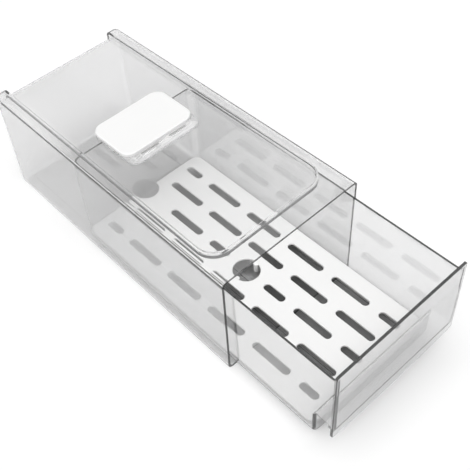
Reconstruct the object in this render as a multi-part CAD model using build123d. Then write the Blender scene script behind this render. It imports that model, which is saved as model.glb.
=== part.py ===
from build123d import *
import os
from math import atan, cos, radians, sin, tan

# Fridge drawer organizer: a clear open-fronted case with stacking rails, a clear pull-out drawer,
# a white drain tray lying in the drawer, and a sliding air vent in the case's top.
# Millimetres. X runs across the width, Y from the front to the back, Z up from the surface that
# the case stands on. Shapes are drawn with Y counted from the case's front edge, and then moved so
# that the origin is the middle of the case's flat base. The drawer is drawn partly open.

# ---- outer case
case_front_width = 148.5
case_side_taper = 3.0  # how much each side closes in towards the rear
case_front_height = 115.0
case_top_fall = 5.0  # how much lower the rear is
case_depth = 311.0
case_rear_lean = 3.0  # how far the rear wall's foot stands ahead of its top
case_wall = 2.2
case_top_edge_radius = 4.5
case_corner_radius = 5.5  # along the bottom edges and up the rear's two sides
case_rear_edge_radius = 8.5  # where the recessed top turns down at the rear

rail_width = 12.4
rail_height = 5.0
front_strip = 24.0  # depth of the raised strip in front of the recessed top
recess_corner_radius = 16.0
recess_lip_radius = 0.8

runner_width = 6.0
runner_height = 0.6
runner_inset = 14.0  # from the case's inner side wall to the runner's centre

# ---- drawer
drawer_side_gap = 1.65  # from each side of the case, at the rear of the closed drawer's floor
drawer_side_taper = 1.2  # how much each side closes in towards the rear
drawer_wall = 1.8
drawer_floor = 2.0
drawer_draft = 0.5  # degrees that each tub wall leans outward
drawer_running_gap = 0.3  # between the tub and the runners below it
drawer_top_gap = 5.2  # between the tub's rim and the recessed top above it, at the front
drawer_rim_fall = 2.5  # how much lower the rim is at the rear
drawer_front_gap = 0.6  # between the panel and the case, when the drawer is closed
drawer_rear_gap = 0.4  # between the rear walls' feet, when the drawer is closed
drawer_open_at_rest = 111.3  # how far the panel's face stands ahead of the case
drawer_corner_radius = 7.5  # along the bottom edges and round the rear

panel_side_step = 2.85  # how far each end of the panel stands in from the case's side
panel_thickness = 2.2
panel_top_step = 3.4  # how far its top edge lies below the case's front edge
panel_end_bottom = 28.0
panel_bottom_sag = 4.0  # how much lower the pull lip is at its middle
panel_corner_radius = 2.0
panel_edge_radius = 0.6

pull_depth = 18.2  # from the panel's back to the tub's front wall, where fingers go up
pull_shelf_bottom = 35.4
pull_corner_radius = 2.5  # inside the finger space, between the front wall and the shelf
tub_toe_radius = 2.5  # along the front wall's foot and up its two sides
rim_fillet = 5.0  # where the side walls' rims meet the panel
rim_web_inset = 0.1  # of that web's faces from the side wall's

pad_length = 3.6  # thickened strip of each side wall beside the panel
pad_proud = 0.8
pad_top = 81.0  # at its rear edge
pad_top_rise = 5.0  # from there to the panel

floor_rib_pairs = 3
floor_rib_leg_gap = 0.1  # from the outermost ribs to the tray's outer legs
floor_rib_width = 1.4
floor_centre_rib_width = 3.8
floor_rib_height = 1.0

# ---- drain tray
tray_top = 16.2  # above the standing surface
tray_thickness = 2.0
tray_side_gap = 0.4
tray_end_gap = 0.4
tray_corner_radius = 8.0
tray_edge_radius = 0.5

slot_width = 7.4
slot_long = 34.0  # between the centres of its round ends
slot_short_end = 12.0
slot_short_middle = 16.4
column_pitch = 23.7
row_pitch = 26.6
rows_centre_from_rear = 139.4
end_slot_rows = 4.6  # rows from the middle to the short slots near the tray's ends
middle_slot_rows = 1.31  # rows from the middle to the short slots beside the finger hole
finger_hole_radius = 12.4

leg_radius = 2.5
leg_inset = 1.4  # of the outer legs from where the tub's floor curves up
leg_row_spacing = 2.0  # in rows
leg_rows = 5
tray_standing_gap = 0.3

# ---- air vent
vent_front = 146.5  # case front edge to the vent frame's front edge
vent_frame_width = 77.0
vent_frame_length = 59.0
vent_frame_height = 2.0
vent_frame_radius = 8.5
vent_edge_radius = 0.6
vent_seat_gap = 0.0
vent_flange = 5.0  # how far the frame overlaps the panel around its window
vent_plug_gap = 0.3
vent_plug_radius = 1.0  # inside the collar that hangs in the window
air_slot_length = 19.5
air_slot_width = 2.4
air_slot_spread = 31.0  # between the two slots' centres
air_slot_from_front = 7.0

slider_setback = 9.4  # of its front edge behind the frame's, as drawn
slider_overhang = 1.4  # of its rear edge behind the frame's, as drawn
slider_height = 3.0
slider_radius = 10.5
slider_edge_radius = 1.2
slider_gap = 0.3  # under the slider
slider_travel = 9.0

clip_inset = 7.0  # of each clip's middle from the collar's inner side
clip_behind_centre = 4.0  # behind the slider's middle
clip_width = 3.0
clip_length = 12.0
clip_hook = 1.4
clip_hook_height = 1.2
clip_side_gap = 0.4
clip_end_gap = 0.5

# ---- sizes and places worked out from the sizes above
case_rear_width = case_front_width - 2 * case_side_taper
case_rear_height = case_front_height - case_top_fall
drawer_rear_width = case_rear_width - 2 * (case_wall + drawer_side_gap)
drawer_front_width = drawer_rear_width + 2 * drawer_side_taper
drawer_wall_top = case_front_height - rail_height - case_wall - drawer_top_gap
closed_rear_foot_y = case_depth - case_rear_lean - case_wall - drawer_rear_gap
drawer_length = closed_rear_foot_y + drawer_front_gap + panel_thickness
panel_width = case_front_width - 2 * panel_side_step
panel_top = case_front_height - panel_top_step
top_slope = atan((case_front_height - case_rear_height) / case_depth)
side_taper = (case_front_width - case_rear_width) / 2 / case_depth
rear_lean_slope = case_rear_lean / case_rear_height
beyond = 20.0  # how far cutting shapes run past what they cut
edge_tolerance = 0.05  # how near an edge must lie to a plane to be counted as on it

runner_top = case_wall + runner_height
drawer_bottom = runner_top + drawer_running_gap
drawer_floor_top = drawer_bottom + drawer_floor
panel_face_y = -drawer_open_at_rest
panel_back_y = panel_face_y + panel_thickness
tub_front_y = panel_back_y + pull_depth
drawer_rear_foot_y = panel_face_y + drawer_length
draft_slope = tan(radians(drawer_draft))
tub_height = drawer_wall_top - drawer_bottom

tray_bottom = tray_top - tray_thickness
tray_rear_y = drawer_rear_foot_y - drawer_wall + draft_slope * (tray_bottom - drawer_bottom) - tray_end_gap
tray_front_y = tub_front_y + drawer_wall + tray_end_gap
row_middle_y = tray_rear_y - rows_centre_from_rear

leg_column_x = (column_pitch / 2, drawer_rear_width / 2 - drawer_corner_radius - leg_inset)
outermost_rib_x = leg_column_x[-1] - leg_radius - floor_rib_leg_gap - floor_rib_width / 2
floor_rib_pitch = outermost_rib_x / floor_rib_pairs

slider_width = vent_frame_width
slider_length = vent_frame_length + slider_overhang - slider_setback
plug_width = vent_frame_width - 2 * (vent_flange + vent_plug_gap)
plug_length = vent_frame_length - 2 * (vent_flange + vent_plug_gap)
clip_spread = plug_width - 2 * (case_wall + clip_inset)
slider_centre_y = slider_setback + slider_length / 2
clip_centre_y = slider_centre_y + clip_behind_centre

base_length = case_depth - case_rear_lean - case_corner_radius  # the case's flat base, front to back


def recess_plane(y, above=0.0):
    """Plane lying on the recessed top, at this distance from the case's front."""
    height = case_front_height - rail_height - y * tan(top_slope) + above
    return Plane(origin=(0, y, height), x_dir=(1, 0, 0), z_dir=(0, sin(top_slope), cos(top_slope)))


def trapezoid(front_half, rear_half, front_y, rear_y):
    """Flat trapezoid, symmetrical about X = 0, in the XY plane."""
    corners = [(-front_half, front_y), (front_half, front_y), (rear_half, rear_y), (-rear_half, rear_y)]
    return make_face(Polyline(*corners, close=True))


def rounded_plate(width, length, height, radius):
    """Plate with round corners, standing on Z = 0 and centred on X and Y."""
    return extrude(RectangleRounded(width, length, radius), height)


# ---- outer case
def case_block(inset, front_overrun):
    """Tapered block of the case's outside, shrunk by inset, with its long and rear edges rounded."""
    front_half = case_front_width / 2 - inset
    rear_y = case_depth - inset
    half_at = lambda y: front_half - side_taper * y
    plan = trapezoid(half_at(-front_overrun), half_at(rear_y), -front_overrun, rear_y)
    block = extrude(plan, case_front_height + beyond)
    top_at = lambda y: case_front_height - y * tan(top_slope) - inset
    rear_foot_y = rear_y - case_rear_lean
    rear_top_y = rear_foot_y + rear_lean_slope * top_at(rear_y)
    side = make_face(
        Polyline(
            (0, -front_overrun, inset),
            (0, -front_overrun, top_at(-front_overrun)),
            (0, rear_top_y, top_at(rear_top_y)),
            (0, rear_foot_y, inset),
            close=True,
        )
    )
    block = block & extrude(side, case_front_width, both=True)
    upright = [e for e in block.edges() if abs(e.tangent_at(0.5).Z) > 0.9 and e.center().Y > rear_y / 2]
    bottom = [e for e in block.edges() if e.bounding_box().max.Z < inset + edge_tolerance]
    bottom = [e for e in bottom if e.center().Y > -front_overrun + edge_tolerance]
    block = fillet(upright + bottom, case_corner_radius - inset)
    long_top = [e for e in block.edges() if e.center().Z > case_rear_height / 2 and e.length > case_depth / 2]
    return fillet(long_top, case_top_edge_radius - inset)


def recess_block(grow):
    """What is taken out of the case's top between the rails, grown by a wall's thickness."""
    half_at = lambda y: case_front_width / 2 - rail_width - side_taper * y + grow
    start = front_strip - grow
    end = case_depth + beyond
    plan = trapezoid(half_at(start), half_at(end), start, end)
    front_corners = plan.vertices().sort_by(Axis.Y)[:2]
    plan = fillet(front_corners, recess_corner_radius + grow)
    return recess_plane(0, -grow) * extrude(plan, rail_height + beyond)


def runner(side):
    """Low rib on the case's floor that the drawer slides on."""
    half_at = lambda y: case_front_width / 2 - case_wall - side_taper * y - runner_inset
    rear = case_depth - case_rear_lean - case_corner_radius
    front = case_wall
    outline = [
        (side * (half_at(front) - runner_width / 2), front),
        (side * (half_at(front) + runner_width / 2), front),
        (side * (half_at(rear) + runner_width / 2), rear),
        (side * (half_at(rear) - runner_width / 2), rear),
    ]
    plan = make_face(Polyline(*outline, close=True))
    return Pos(0, 0, case_wall / 2) * extrude(plan, runner_top - case_wall / 2)


def vent_window():
    """Opening in the recessed top, under the vent."""
    width = vent_frame_width - 2 * vent_flange
    length = vent_frame_length - 2 * vent_flange
    hole = rounded_plate(width, length, 2 * beyond, vent_frame_radius - vent_flange)
    return recess_plane(vent_front) * Pos(0, vent_frame_length / 2, -beyond) * hole


def case_form(inset, front_overrun):
    """The case's outside, or its inside when inset by the wall, with its recessed top."""
    form = case_block(inset, front_overrun) - recess_block(inset)
    recess_end = [e for e in form.edges() if abs(e.tangent_at(0.5).X) > 0.9 and abs(e.center().X) < 1]
    recess_end = [e for e in recess_end if e.center().Y > case_depth - case_rear_edge_radius]
    recess_end = [e for e in recess_end if e.center().Z > case_rear_height / 2]
    return fillet(recess_end, case_rear_edge_radius - inset)


def recess_rims(solid):
    """The edges between the rails' tops and the recess's walls."""
    rims = []
    for edge in solid.edges():
        middle = edge.center()
        rail_top = case_front_height - middle.Y * tan(top_slope)
        inner = abs(middle.X) < case_rear_width / 2 - rail_width + side_taper * case_depth
        if abs(middle.Z - rail_top) < edge_tolerance and inner and middle.Y > front_strip / 2:
            rims.append(edge)
    return rims


def make_outer_case():
    outside = case_form(0.0, 0.0)
    outside = fillet(recess_rims(outside), recess_lip_radius)
    shell = outside - case_form(case_wall, beyond)
    for side in (-1, 1):
        shell = shell + runner(side)
    return shell - vent_window()


# ---- drawer
def tub_block(inset, floor_z, front_y):
    """Drafted block of the tub's outside, or of its inside when inset by the wall."""
    taper = (drawer_front_width - drawer_rear_width) / 2 / (drawer_length - panel_thickness)
    lift = floor_z - drawer_bottom
    half_at = lambda y: drawer_front_width / 2 - taper * (y - panel_back_y) - inset + draft_slope * lift
    rear_y = drawer_rear_foot_y - inset + draft_slope * lift
    far_front = front_y - beyond
    plan = trapezoid(half_at(far_front), half_at(rear_y), far_front, rear_y)
    block = extrude(Pos(0, 0, floor_z) * plan, tub_height - lift + beyond, taper=-drawer_draft)
    upright = [e for e in block.edges() if abs(e.tangent_at(0.5).Z) > 0.9 and e.center().Y > 0]
    bottom = [e for e in block.edges() if e.bounding_box().max.Z < floor_z + edge_tolerance]
    bottom = [e for e in bottom if e.center().Y > far_front + edge_tolerance]
    block = fillet(upright + bottom, drawer_corner_radius - inset)
    front_cut = Pos(0, front_y - beyond, floor_z) * Box(
        2 * case_front_width, 2 * beyond, 4 * case_front_height
    )
    return block - front_cut


def rim_cut():
    """Everything above the tub's rim, which falls a little towards the rear."""
    fall_slope = drawer_rim_fall / (drawer_length - panel_thickness)
    rear_y = drawer_rear_foot_y + beyond
    side = make_face(
        Polyline(
            (0, panel_back_y - beyond, drawer_wall_top),
            (0, panel_back_y, drawer_wall_top),
            (0, rear_y, drawer_wall_top - fall_slope * (rear_y - panel_back_y)),
            (0, rear_y, drawer_wall_top + 2 * beyond),
            (0, panel_back_y - beyond, drawer_wall_top + 2 * beyond),
            close=True,
        )
    )
    return extrude(side, case_front_width, both=True)


def front_panel():
    """Front panel with its pull lip: the lower edge is a shallow arc."""
    half = panel_width / 2
    top_left, top_right = (-half, panel_top), (half, panel_top)
    bottom_left, bottom_right = (-half, panel_end_bottom), (half, panel_end_bottom)
    outline = [
        Line(bottom_left, top_left),
        Line(top_left, top_right),
        Line(top_right, bottom_right),
        ThreePointArc(bottom_right, (0, panel_end_bottom - panel_bottom_sag), bottom_left),
    ]
    face = make_face(Plane.XZ * Wire(outline))
    face = Pos(0, panel_back_y, 0) * face
    panel = extrude(face, panel_thickness, dir=(0, -1, 0))
    across = [e for e in panel.edges() if abs(e.tangent_at(0.5).Y) > 0.9]
    panel = fillet(across, panel_corner_radius)
    face_edges = [e for e in panel.edges() if abs(e.center().Y - panel_face_y) < edge_tolerance]
    return fillet(face_edges, panel_edge_radius)


def rim_corner(side):
    """Small curved web where a side wall's rim runs up into the panel."""
    ahead, below = panel_back_y - panel_thickness / 2, drawer_wall_top - drawer_wall / 2
    foot, head = panel_back_y + rim_fillet, drawer_wall_top + rim_fillet
    outline = [
        Line((ahead, below), (foot, below)),
        Line((foot, below), (foot, drawer_wall_top)),
        RadiusArc((foot, drawer_wall_top), (panel_back_y, head), rim_fillet),
        Line((panel_back_y, head), (ahead, head)),
        Line((ahead, head), (ahead, below)),
    ]
    face = make_face(Plane.YZ * Wire(outline))
    outside = drawer_front_width / 2 + draft_slope * tub_height
    start = side * (outside - drawer_wall + rim_web_inset)
    return extrude(Pos(start, 0, 0) * face, drawer_wall - 2 * rim_web_inset, dir=(side, 0, 0))


def side_pad(side):
    """Thickened strip on the outside of a side wall, beside the panel, with a sloping top."""
    foot_half = drawer_front_width / 2 + draft_slope * (pull_shelf_bottom - drawer_bottom)
    head_top = pad_top + pad_top_rise
    head_half = drawer_front_width / 2 + draft_slope * (head_top - drawer_bottom)
    section = [
        (side * (foot_half - drawer_wall / 2), pull_shelf_bottom),
        (side * (foot_half + pad_proud), pull_shelf_bottom),
        (side * (head_half + pad_proud), head_top),
        (side * (head_half - drawer_wall / 2), head_top),
    ]
    face = make_face(Plane.XZ * Polyline(*section, close=True))
    pad = extrude(Pos(0, panel_back_y + pad_length, 0) * face, pad_length, dir=(0, -1, 0))
    corners = [(panel_back_y, head_top), (panel_back_y + pad_length, pad_top), (panel_back_y + pad_length, head_top)]
    above = extrude(make_face(Plane.YZ * Polyline(*corners, close=True)), case_front_width, both=True)
    return pad - above


def floor_ribs():
    """Ribs along the tub's floor that keep food and the tray's water apart."""
    front = tub_front_y + drawer_wall + drawer_corner_radius
    rear = drawer_rear_foot_y - drawer_wall - drawer_corner_radius
    ribs = []
    for index in range(-floor_rib_pairs, floor_rib_pairs + 1):
        width = floor_centre_rib_width if index == 0 else floor_rib_width
        rib = Box(width, rear - front, floor_rib_height + drawer_floor / 2)
        centre_z = drawer_floor_top + (floor_rib_height - drawer_floor / 2) / 2
        ribs.append(Pos(index * floor_rib_pitch, (front + rear) / 2, centre_z) * rib)
    return ribs


def pull_space(grow):
    """Space behind the panel where fingers go up, grown by a wall's thickness."""
    depth = pull_depth + grow
    height = pull_shelf_bottom + grow - drawer_bottom
    block = Box(2 * case_front_width, 2 * depth, 2 * height)
    inner_corner = [e for e in block.edges() if e.center().Y > depth / 2 and e.center().Z > height / 2]
    return Pos(0, panel_back_y, drawer_bottom) * fillet(inner_corner, pull_corner_radius + grow)


def make_drawer():
    outside = tub_block(0.0, drawer_bottom, panel_back_y - panel_thickness / 2) - pull_space(0.0)
    toe = [e for e in outside.edges() if abs(e.center().Y - tub_front_y) < edge_tolerance]
    toe = [e for e in toe if e.center().Z < pull_shelf_bottom - pull_corner_radius]
    outside = fillet(toe, tub_toe_radius)
    inside = tub_block(drawer_wall, drawer_floor_top, panel_back_y) - pull_space(drawer_wall)
    tub = outside - inside - rim_cut()
    tub = tub + front_panel()
    for side in (-1, 1):
        tub = tub + side_pad(side) + rim_corner(side)
    for rib in floor_ribs():
        tub = tub + rib
    return tub


# ---- drain tray
def slot(x, row, length):
    """One drain slot, running front to back; row counts from the middle of the tray."""
    outline = Rot(0, 0, 90) * SlotCenterToCenter(length, slot_width)
    return Pos(x, row_middle_y + row * row_pitch, tray_bottom - tray_thickness / 2) * extrude(outline, 2 * tray_thickness)


def tray_cuts():
    """Staggered columns of slots, the finger hole and the half-round notch at the rear edge."""
    cuts = []
    for column in (-1, 1):
        for row in (-4, -2, 0, 2, 4):
            cuts.append(slot(column * column_pitch, row, slot_long))
    for column in (-2, 2):
        for row in (-3, -1, 1, 3):
            cuts.append(slot(column * column_pitch, row, slot_long))
        for row in (-end_slot_rows, end_slot_rows):
            cuts.append(slot(column * column_pitch, row, slot_short_end))
    for row in (-3, 3):
        cuts.append(slot(0, row, slot_long))
    for row in (-middle_slot_rows, middle_slot_rows):
        cuts.append(slot(0, row, slot_short_middle))
    cuts.append(slot(0, -end_slot_rows, slot_short_end))
    hole = Cylinder(finger_hole_radius, 3 * tray_thickness)
    cuts.append(Pos(0, row_middle_y, tray_bottom) * hole)
    cuts.append(Pos(0, tray_rear_y, tray_bottom) * hole)
    return cuts


def tray_leg(x, y):
    """Round leg that holds the tray clear of the water on the tub's floor."""
    foot = drawer_floor_top + tray_standing_gap
    height = tray_bottom - foot + tray_thickness / 2
    return Pos(x, y, foot + height / 2) * Cylinder(leg_radius, height)


def make_drain_tray():
    taper = (drawer_front_width - drawer_rear_width) / 2 / (drawer_length - panel_thickness)
    lift = draft_slope * (tray_bottom - drawer_bottom)
    edge = drawer_front_width / 2 - drawer_wall - tray_side_gap + lift
    front_half = edge - taper * (tray_front_y - panel_back_y)
    rear_half = edge - taper * (tray_rear_y - panel_back_y)
    plan = trapezoid(front_half, rear_half, tray_front_y, tray_rear_y)
    plan = fillet(plan.vertices(), tray_corner_radius)
    plate = extrude(Pos(0, 0, tray_bottom) * plan, tray_thickness)
    for cut in tray_cuts():
        plate = plate - cut
    top_edges = [e for e in plate.edges() if e.bounding_box().min.Z > tray_top - edge_tolerance]
    plate = fillet(top_edges, tray_edge_radius)
    for column in leg_column_x:
        for side in (-1, 1):
            for index in range(leg_rows):
                row = (index - (leg_rows - 1) / 2) * leg_row_spacing
                plate = plate + tray_leg(side * column, row_middle_y + row * row_pitch)
    return plate


# ---- air vent, drawn flat and then laid on the sloping top
def clip_slot(side):
    """Guide slot in the vent frame that a clip of the slider runs along."""
    width = clip_width + 2 * clip_side_gap
    length = clip_length + slider_travel + 2 * clip_end_gap
    centre_y = clip_centre_y - slider_travel / 2
    return Pos(side * clip_spread / 2, centre_y, 0) * Box(width, length, 4 * vent_frame_height)


def make_vent_frame():
    plate = rounded_plate(vent_frame_width, vent_frame_length, vent_frame_height, vent_frame_radius)
    plate = fillet(plate.edges().group_by(Axis.Z)[-1], vent_edge_radius)
    plug_radius = vent_frame_radius - vent_flange - vent_plug_gap
    plug = rounded_plate(plug_width, plug_length, case_wall, plug_radius)
    hollow = rounded_plate(plug_width - 2 * case_wall, plug_length - 2 * case_wall, case_wall, vent_plug_radius)
    frame = Pos(0, vent_frame_length / 2, 0) * (plate + Pos(0, 0, -case_wall) * (plug - hollow))
    for side in (-1, 1):
        air_slot = extrude(SlotOverall(air_slot_length, air_slot_width), 4 * vent_frame_height, both=True)
        frame = frame - Pos(side * air_slot_spread / 2, air_slot_from_front, 0) * air_slot
        frame = frame - clip_slot(side)
    return recess_plane(vent_front, vent_seat_gap) * frame


def make_vent_slider():
    foot = vent_frame_height + slider_gap
    cap = rounded_plate(slider_width, slider_length, slider_height, slider_radius)
    cap = fillet(cap.edges().group_by(Axis.Z)[-1], slider_edge_radius)
    slider = Pos(0, slider_centre_y, foot) * cap
    stem_bottom = -slider_gap - clip_hook_height
    stem_height = foot - stem_bottom + slider_height / 2
    for side in (-1, 1):
        x = side * clip_spread / 2
        stem = Box(clip_width, clip_length, stem_height)
        slider = slider + Pos(x, clip_centre_y, stem_bottom + stem_height / 2) * stem
        hook = Box(clip_hook + clip_side_gap, clip_length, clip_hook_height)
        hook_x = x + side * (clip_width + clip_hook + clip_side_gap) / 2
        slider = slider + Pos(hook_x, clip_centre_y, stem_bottom + clip_hook_height / 2) * hook
    return recess_plane(vent_front, vent_seat_gap) * slider


os.makedirs("parts", exist_ok=True)
pieces = {
    "outer_case": make_outer_case,
    "drawer": make_drawer,
    "drain_tray": make_drain_tray,
    "vent_frame": make_vent_frame,
    "vent_slider": make_vent_slider,
}
for name, make in pieces.items():
    solid = Pos(0, -base_length / 2, 0) * make()
    solid.label = name
    export_step(solid, f"parts/{name}.step")
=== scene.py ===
from math import radians

import bpy
from mathutils import Matrix, Vector


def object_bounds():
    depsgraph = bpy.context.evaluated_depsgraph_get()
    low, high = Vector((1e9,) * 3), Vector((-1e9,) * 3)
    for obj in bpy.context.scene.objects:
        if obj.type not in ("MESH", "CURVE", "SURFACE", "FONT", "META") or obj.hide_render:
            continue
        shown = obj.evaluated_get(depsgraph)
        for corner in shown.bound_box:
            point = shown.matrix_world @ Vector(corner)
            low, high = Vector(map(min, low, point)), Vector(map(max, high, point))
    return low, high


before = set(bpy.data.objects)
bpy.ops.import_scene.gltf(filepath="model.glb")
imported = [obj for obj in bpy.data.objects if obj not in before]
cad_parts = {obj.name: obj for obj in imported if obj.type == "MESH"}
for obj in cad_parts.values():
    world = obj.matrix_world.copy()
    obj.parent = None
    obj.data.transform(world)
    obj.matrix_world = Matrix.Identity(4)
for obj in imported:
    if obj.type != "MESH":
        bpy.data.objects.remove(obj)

cad_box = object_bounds()
scene = bpy.context.scene

# Metres. X runs across the width, Y from the drawer's front to the back, Z up.
WHITE = (1.0, 1.0, 1.0, 1.0)
BLACK = (0.0, 0.0, 0.0, 1.0)

CLEAR_PLASTIC_IOR = 1.57
WHITE_PLASTIC_IOR = 1.49
EDGE_ON_BLUE = 0.985  # share of the painted edge-on shade that blue gets, for a slightly cool edge
LOW_PART_TOP = 0.045  # up to this height clear plastic holds back more of the lamps' light
MOTTLE_SHARE = 0.985  # the white plastic's darker patches against its lighter ones

FLOOR_HALF_SIZE = 3.0
FLOOR_BELOW_BASE = 0.0002
FLOOR_SEEN_SHADE = 0.98  # with FLOOR_SEEN_GLOW, the lit floor comes out plain white
FLOOR_SEEN_GLOW = 0.03
FLOOR_BOUNCE_SHADE = 0.6  # what it sends back up onto the object

SOFTBOX_DIRECTION = (-0.3, -0.25, 0.92)  # from the object to the middle of the lit part of the sky
SOFTBOX_EDGE = (0.35, 0.8)  # cosines between which that light rises from nothing to full
SOFTBOX_STRENGTH = 1.45
LIGHT_BOUNCES = 32  # the lines of sight cross many clear walls


# ---- helpers for node trees
def grey(shade):
    """A grey as a shader colour."""
    return (shade, shade, shade, 1.0)


def new_node(nodes, kind, **sockets):
    """A shader node with values on its own input sockets, named with _ for each space."""
    node = nodes.new("ShaderNode" + kind)
    for socket, value in sockets.items():
        node.inputs[socket.replace("_", " ")].default_value = value
    return node


def calculate(nodes, links, operation, *terms):
    """The result of a Math node. Each term is a number or another node's output."""
    node = nodes.new("ShaderNodeMath")
    node.operation = operation
    for socket, term in zip(node.inputs, terms):
        if isinstance(term, float):
            socket.default_value = term
        else:
            links.new(term, socket)
    return node.outputs[0]


def mix_shaders(nodes, links, factor, first, second):
    """The first shader where factor is 0 and the second where it is 1."""
    mix = nodes.new("ShaderNodeMixShader")
    for socket, source in zip(mix.inputs, (factor, first.outputs[0], second.outputs[0])):
        links.new(source, socket)
    return mix.outputs[0]


def new_material(name):
    """An empty node material and its output."""
    material = bpy.data.materials.new(name)
    material.use_nodes = True
    nodes = material.node_tree.nodes
    nodes.clear()
    return material, nodes, material.node_tree.links, nodes.new("ShaderNodeOutputMaterial")


def object_noise(nodes, links, scale, detail):
    """Noise that is fixed to the object."""
    place = nodes.new("ShaderNodeTexCoord")
    noise = new_node(nodes, "TexNoise", Scale=scale, Detail=detail)
    links.new(place.outputs["Object"], noise.inputs["Vector"])
    return noise.outputs["Fac"]


def fine_bump(nodes, links, scale, strength, distance):
    """Faint moulding unevenness as a normal."""
    bump = new_node(nodes, "Bump", Strength=strength, Distance=distance)
    links.new(object_noise(nodes, links, scale, detail=3.0), bump.inputs["Height"])
    return bump.outputs["Normal"]


# ---- materials
def edge_on_painted_shade(nodes, links, depth):
    """White where the surface is seen square on, darker by depth where it is seen edge on: painted
    shade for the shaded ground seen through the plastic.
    """
    slant = new_node(nodes, "LayerWeight", Blend=0.5)
    tint = nodes.new("ShaderNodeValToRGB")
    square_on, edge_on = tint.color_ramp.elements
    square_on.color = WHITE
    edge_on.color = (1.0 - depth, 1.0 - depth, 1.0 - EDGE_ON_BLUE * depth, 1.0)
    links.new(slant.outputs["Facing"], tint.inputs["Fac"])
    return tint.outputs["Color"]


def lamp_light_let_by(nodes, links, share, low_share):
    """The lamps' light that a surface lets by: low_share on low parts, bar the side walls."""
    where = nodes.new("ShaderNodeNewGeometry")
    place = nodes.new("ShaderNodeSeparateXYZ")
    facing = nodes.new("ShaderNodeSeparateXYZ")
    links.new(where.outputs["Position"], place.inputs[0])
    links.new(where.outputs["True Normal"], facing.inputs[0])
    low_down = calculate(nodes, links, "LESS_THAN", place.outputs["Z"], LOW_PART_TOP)
    sideways = calculate(nodes, links, "ABSOLUTE", facing.outputs["X"])
    not_sideways = calculate(nodes, links, "SUBTRACT", 1.0, sideways)
    let_by = new_node(nodes, "MapRange", To_Min=share, To_Max=low_share)
    links.new(calculate(nodes, links, "MULTIPLY", low_down, not_sideways), let_by.inputs["Value"])
    return let_by.outputs["Result"]


def clear_plastic(name, edge_depth, lamp_share, low_lamp_share, absorption, roughness, haze):
    """Clear moulded plastic with a little haze, which the lamps' light passes unbent, and painted
    shade where it is seen edge on.
    """
    material, nodes, links, out = new_material(name)
    clear = new_node(
        nodes, "BsdfPrincipled", Base_Color=WHITE, Transmission_Weight=1.0 - haze,
        IOR=CLEAR_PLASTIC_IOR, Roughness=roughness)
    waviness = fine_bump(nodes, links, scale=14.0, strength=0.12, distance=0.0002)
    links.new(waviness, clear.inputs["Normal"])
    if edge_depth > 0:
        # painted shade: the base colour darkens where the plastic is seen edge on
        links.new(edge_on_painted_shade(nodes, links, edge_depth), clear.inputs["Base Color"])
    lamp_way = new_node(nodes, "BsdfTransparent", Color=grey(lamp_share))
    if low_lamp_share < lamp_share:
        let_by = lamp_light_let_by(nodes, links, lamp_share, low_lamp_share)
        links.new(let_by, lamp_way.inputs["Color"])
    path = nodes.new("ShaderNodeLightPath").outputs
    from_lamps = calculate(nodes, links, "MAXIMUM", path["Is Shadow Ray"], path["Is Diffuse Ray"])
    links.new(mix_shaders(nodes, links, from_lamps, clear, lamp_way), out.inputs["Surface"])
    if absorption > 0:
        inside = new_node(nodes, "VolumeAbsorption", Color=BLACK, Density=absorption)
        links.new(inside.outputs[0], out.inputs["Volume"])
    return material


def white_plastic(name, colour, roughness):
    """Satin white moulded plastic, very faintly mottled."""
    material, nodes, links, out = new_material(name)
    satin = new_node(nodes, "BsdfPrincipled", Roughness=roughness, IOR=WHITE_PLASTIC_IOR)
    ramp = nodes.new("ShaderNodeValToRGB")
    darker, lighter = ramp.color_ramp.elements
    darker.position, lighter.position = 0.35, 0.65
    darker.color = (*(MOTTLE_SHARE * channel for channel in colour), 1.0)
    lighter.color = (*colour, 1.0)
    grain = fine_bump(nodes, links, scale=900.0, strength=0.1, distance=0.00004)
    links.new(object_noise(nodes, links, scale=22.0, detail=4.0), ramp.inputs["Fac"])
    links.new(ramp.outputs["Color"], satin.inputs["Base Color"])
    links.new(grain, satin.inputs["Normal"])
    links.new(satin.outputs[0], out.inputs["Surface"])
    return material


case_clear = clear_plastic(
    "case_plastic", edge_depth=0.4, lamp_share=0.99, low_lamp_share=0.72,
    absorption=1.5, roughness=0.015, haze=0.03)
drawer_clear = clear_plastic(
    "drawer_plastic", edge_depth=0.45, lamp_share=0.975, low_lamp_share=0.6,
    absorption=3.0, roughness=0.015, haze=0.03)
frame_clear = clear_plastic(
    "vent_frame_plastic", edge_depth=0.0, lamp_share=0.99, low_lamp_share=0.99,
    absorption=0.0, roughness=0.03, haze=0.22)
white = white_plastic("white_plastic", colour=(0.95, 0.95, 0.945), roughness=0.38)

looks = {
    "outer_case": case_clear,
    "drawer": drawer_clear,
    "vent_frame": frame_clear,
    "drain_tray": white,
    "vent_slider": white,
}
for name, material in looks.items():
    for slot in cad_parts[name].material_slots:
        slot.material = material


# ---- floor, light and background
def seen_rays(nodes, links):
    """1 for what the camera sees, directly, in gloss or through plastic, and 0 for the rest."""
    path = nodes.new("ShaderNodeLightPath").outputs
    seen = calculate(nodes, links, "MAXIMUM", path["Is Camera Ray"], path["Is Glossy Ray"])
    return calculate(nodes, links, "MAXIMUM", seen, path["Is Transmission Ray"])


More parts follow.
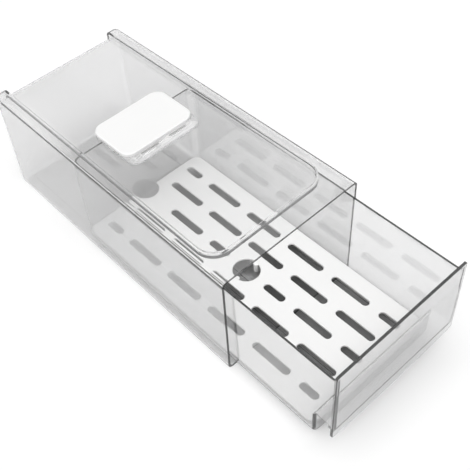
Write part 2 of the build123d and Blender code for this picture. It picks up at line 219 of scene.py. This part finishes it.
def make_floor():
    """A plain floor that is seen as white paper and keeps the object's shadow."""
    half, height = FLOOR_HALF_SIZE, cad_box[0][2] - FLOOR_BELOW_BASE
    outline = ((-half, -half), (half, -half), (half, half), (-half, half))
    mesh = bpy.data.meshes.new("floor")
    mesh.from_pydata([(x, y, height) for x, y in outline], [], [(0, 1, 2, 3)])
    floor = bpy.data.objects.new("floor", mesh)
    scene.collection.objects.link(floor)
    material, nodes, links, out = new_material("floor_paper")
    paper = new_node(nodes, "BsdfDiffuse", Color=grey(FLOOR_SEEN_SHADE))
    glow = new_node(nodes, "Emission", Strength=FLOOR_SEEN_GLOW)
    seen_paper = nodes.new("ShaderNodeAddShader")
    links.new(paper.outputs[0], seen_paper.inputs[0])
    links.new(glow.outputs[0], seen_paper.inputs[1])
    bounce = new_node(nodes, "BsdfDiffuse", Color=grey(FLOOR_BOUNCE_SHADE))
    surface = mix_shaders(nodes, links, seen_rays(nodes, links), bounce, seen_paper)
    links.new(surface, out.inputs["Surface"])
    mesh.materials.append(material)


def make_world():
    """A wide softbox in the sky for the object's light, and plain white for what is seen."""
    world = bpy.data.worlds.new("studio")
    scene.world = world
    world.use_nodes = True
    nodes, links = world.node_tree.nodes, world.node_tree.links
    nodes.clear()
    out = nodes.new("ShaderNodeOutputWorld")
    place = nodes.new("ShaderNodeTexCoord")
    toward = nodes.new("ShaderNodeVectorMath")
    toward.operation = "DOT_PRODUCT"
    toward.inputs[1].default_value = Vector(SOFTBOX_DIRECTION).normalized()
    softbox = new_node(
        nodes, "MapRange", From_Min=SOFTBOX_EDGE[0], From_Max=SOFTBOX_EDGE[1],
        To_Max=SOFTBOX_STRENGTH)
    softbox.interpolation_type = "SMOOTHSTEP"
    light = new_node(nodes, "Background", Color=WHITE)
    seen = new_node(nodes, "Background", Color=WHITE, Strength=1.0)
    links.new(place.outputs["Generated"], toward.inputs[0])
    links.new(toward.outputs["Value"], softbox.inputs["Value"])
    links.new(softbox.outputs["Result"], light.inputs["Strength"])
    surface = mix_shaders(nodes, links, seen_rays(nodes, links), light, seen)
    links.new(surface, out.inputs["Surface"])


def soft_sun(name, toward, spread, strength):
    """Large far softbox, spread degrees across: even light with soft shadows."""
    light = bpy.data.lights.new(name, "SUN")
    light.angle = radians(spread)
    light.energy = strength
    holder = bpy.data.objects.new(name, light)
    scene.collection.objects.link(holder)
    holder.rotation_euler = Vector(toward).to_track_quat("-Z", "Y").to_euler()


make_floor()
make_world()
soft_sun("key", toward=(0.45, 0.3, -0.84), spread=60.0, strength=0.55)


# ---- camera, where the photograph was taken from
def make_camera():
    """A camera with the place, turn and lens that were fitted to the photograph."""
    data = bpy.data.cameras.new("camera")
    data.sensor_width = 36.0  # millimetres, as is the lens
    data.lens = 66.16
    data.clip_start = 0.01
    holder = bpy.data.objects.new("camera", data)
    scene.collection.objects.link(holder)
    right = Vector((0.726684, -0.685759, -0.040813))
    down = Vector((-0.542375, -0.536252, -0.646733))
    ahead = Vector((0.421616, 0.492106, -0.761624))
    turn = Matrix((right, -down, -ahead)).transposed()
    holder.matrix_world = Matrix.Translation((-0.31258, -0.44804, 0.61819)) @ turn.to_4x4()
    scene.camera = holder


make_camera()
scene.view_settings.view_transform = "Standard"
scene.cycles.max_bounces = LIGHT_BOUNCES
scene.cycles.transmission_bounces = LIGHT_BOUNCES
scene.cycles.transparent_max_bounces = LIGHT_BOUNCES
